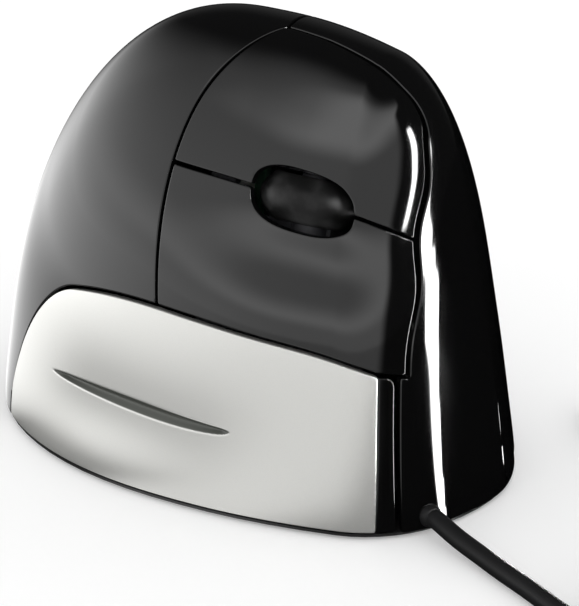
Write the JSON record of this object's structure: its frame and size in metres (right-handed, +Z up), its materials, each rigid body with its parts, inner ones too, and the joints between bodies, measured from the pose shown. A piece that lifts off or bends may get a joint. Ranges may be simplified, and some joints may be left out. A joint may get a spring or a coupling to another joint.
{
  "type": "vertical ergonomic mouse",
  "caption": "Upright right-hand computer mouse: gloss black shell, finger buttons round a scroll wheel, silver lower button, thumb buttons, and a coiled lead with plug.",
  "frame": {"origin": "on the desk under the middle of the body's foot line", "axes": "+X towards the finger side with its buttons, +Y towards the nose where the lead leaves, +Z up"},
  "size_m": [0.0904, 0.1907, 0.0805],
  "materials": {
    "gloss_black": "piano gloss",
    "soft_black": "satin",
    "silver": "silver metallic lacquer",
    "base_black": "fine texture",
    "glide_grey": "slick",
    "rubber": "matte",
    "inner_grey": "moulded",
    "board_green": "solder mask",
    "part_green": "moulded",
    "part_white": "moulded",
    "switch_red": "moulded",
    "chip_black": "moulded",
    "clear_lens": "clear",
    "steel": "plated",
    "lead_black": "satin sleeve"
  },
  "bodies": {
    "housing": {"palm_cover": "gloss_black", "front_cover": "gloss_black", "thumb_shell": "soft_black", "base_plate": "base_black", "glide_feet": "glide_grey", "base_screws": "steel", "wheel_switch": "part_white", "finger_frame": "inner_grey", "button_board": "board_green", "upper_switch": "switch_red", "middle_switch": "switch_red", "lower_board": "board_green", "lower_switch": "switch_red", "thumb_frame": "inner_grey", "thumb_board": "board_green", "thumb_switches": "chip_black", "main_board": "board_green", "board_screws": "steel", "controller_chip": "chip_black", "optical_sensor": "chip_black", "sensor_lens": "clear_lens", "lead_socket": "part_white", "inner_lead": "lead_black", "strain_relief": "lead_black", "cable_run": "lead_black", "cable_coil": "lead_black", "cable_tail": "lead_black", "cable_tie": "lead_black", "plug_grip": "soft_black", "plug_shell": "steel", "plug_tongue": "part_white"},
    "upper_button": {"upper_button": "gloss_black"},
    "middle_button": {"middle_button": "gloss_black"},
    "lower_button": {"lower_button": "silver", "lower_end": "gloss_black"},
    "rear_thumb_button": {"rear_thumb_button": "gloss_black"},
    "front_thumb_button": {"front_thumb_button": "gloss_black"},
    "carrier": {"wheel_carrier": "inner_grey", "wheel_encoder": "part_green"},
    "wheel": {"wheel_tyre": "rubber", "wheel_hub": "inner_grey"}
  },
  "joints": [
    {"name": "upper_button_press", "type": "hinge", "parent": "housing", "child": "upper_button", "pos_m": [0.011, -0.002, 0.0672], "axis": [-0.6607, 0, 0.7507], "range_deg": [0, 0.8], "stiffness_Nm_per_rad": 0.8},
    {"name": "middle_button_press", "type": "hinge", "parent": "housing", "child": "middle_button", "pos_m": [0.0227, -0.0048, 0.047], "axis": [-0.3275, 0, 0.9449], "range_deg": [0, 0.8], "stiffness_Nm_per_rad": 0.8},
    {"name": "lower_button_press", "type": "hinge", "parent": "housing", "child": "lower_button", "pos_m": [0.02, -0.039, 0.006], "axis": [0, 0, 1], "range_deg": [0, 0.43], "stiffness_Nm_per_rad": 3},
    {"name": "wheel_click", "type": "slide", "parent": "housing", "child": "carrier", "axis": [-0.9268, 0, -0.3755], "range_m": [0, 0.0005], "stiffness_N_per_m": 2000},
    {"name": "wheel_spin", "type": "hinge", "parent": "carrier", "child": "wheel", "pos_m": [0.01477, 0.0191, 0.05465], "axis": [-0.3755, 0, 0.9268], "continuous": true},
    {"name": "rear_thumb_press", "type": "slide", "parent": "housing", "child": "rear_thumb_button", "axis": [0.928, 0, -0.3726], "range_m": [0, 0.0006], "stiffness_N_per_m": 1000},
    {"name": "front_thumb_press", "type": "slide", "parent": "housing", "child": "front_thumb_button", "axis": [0.928, 0, -0.3726], "range_m": [0, 0.0006], "stiffness_N_per_m": 1000}
  ]
}
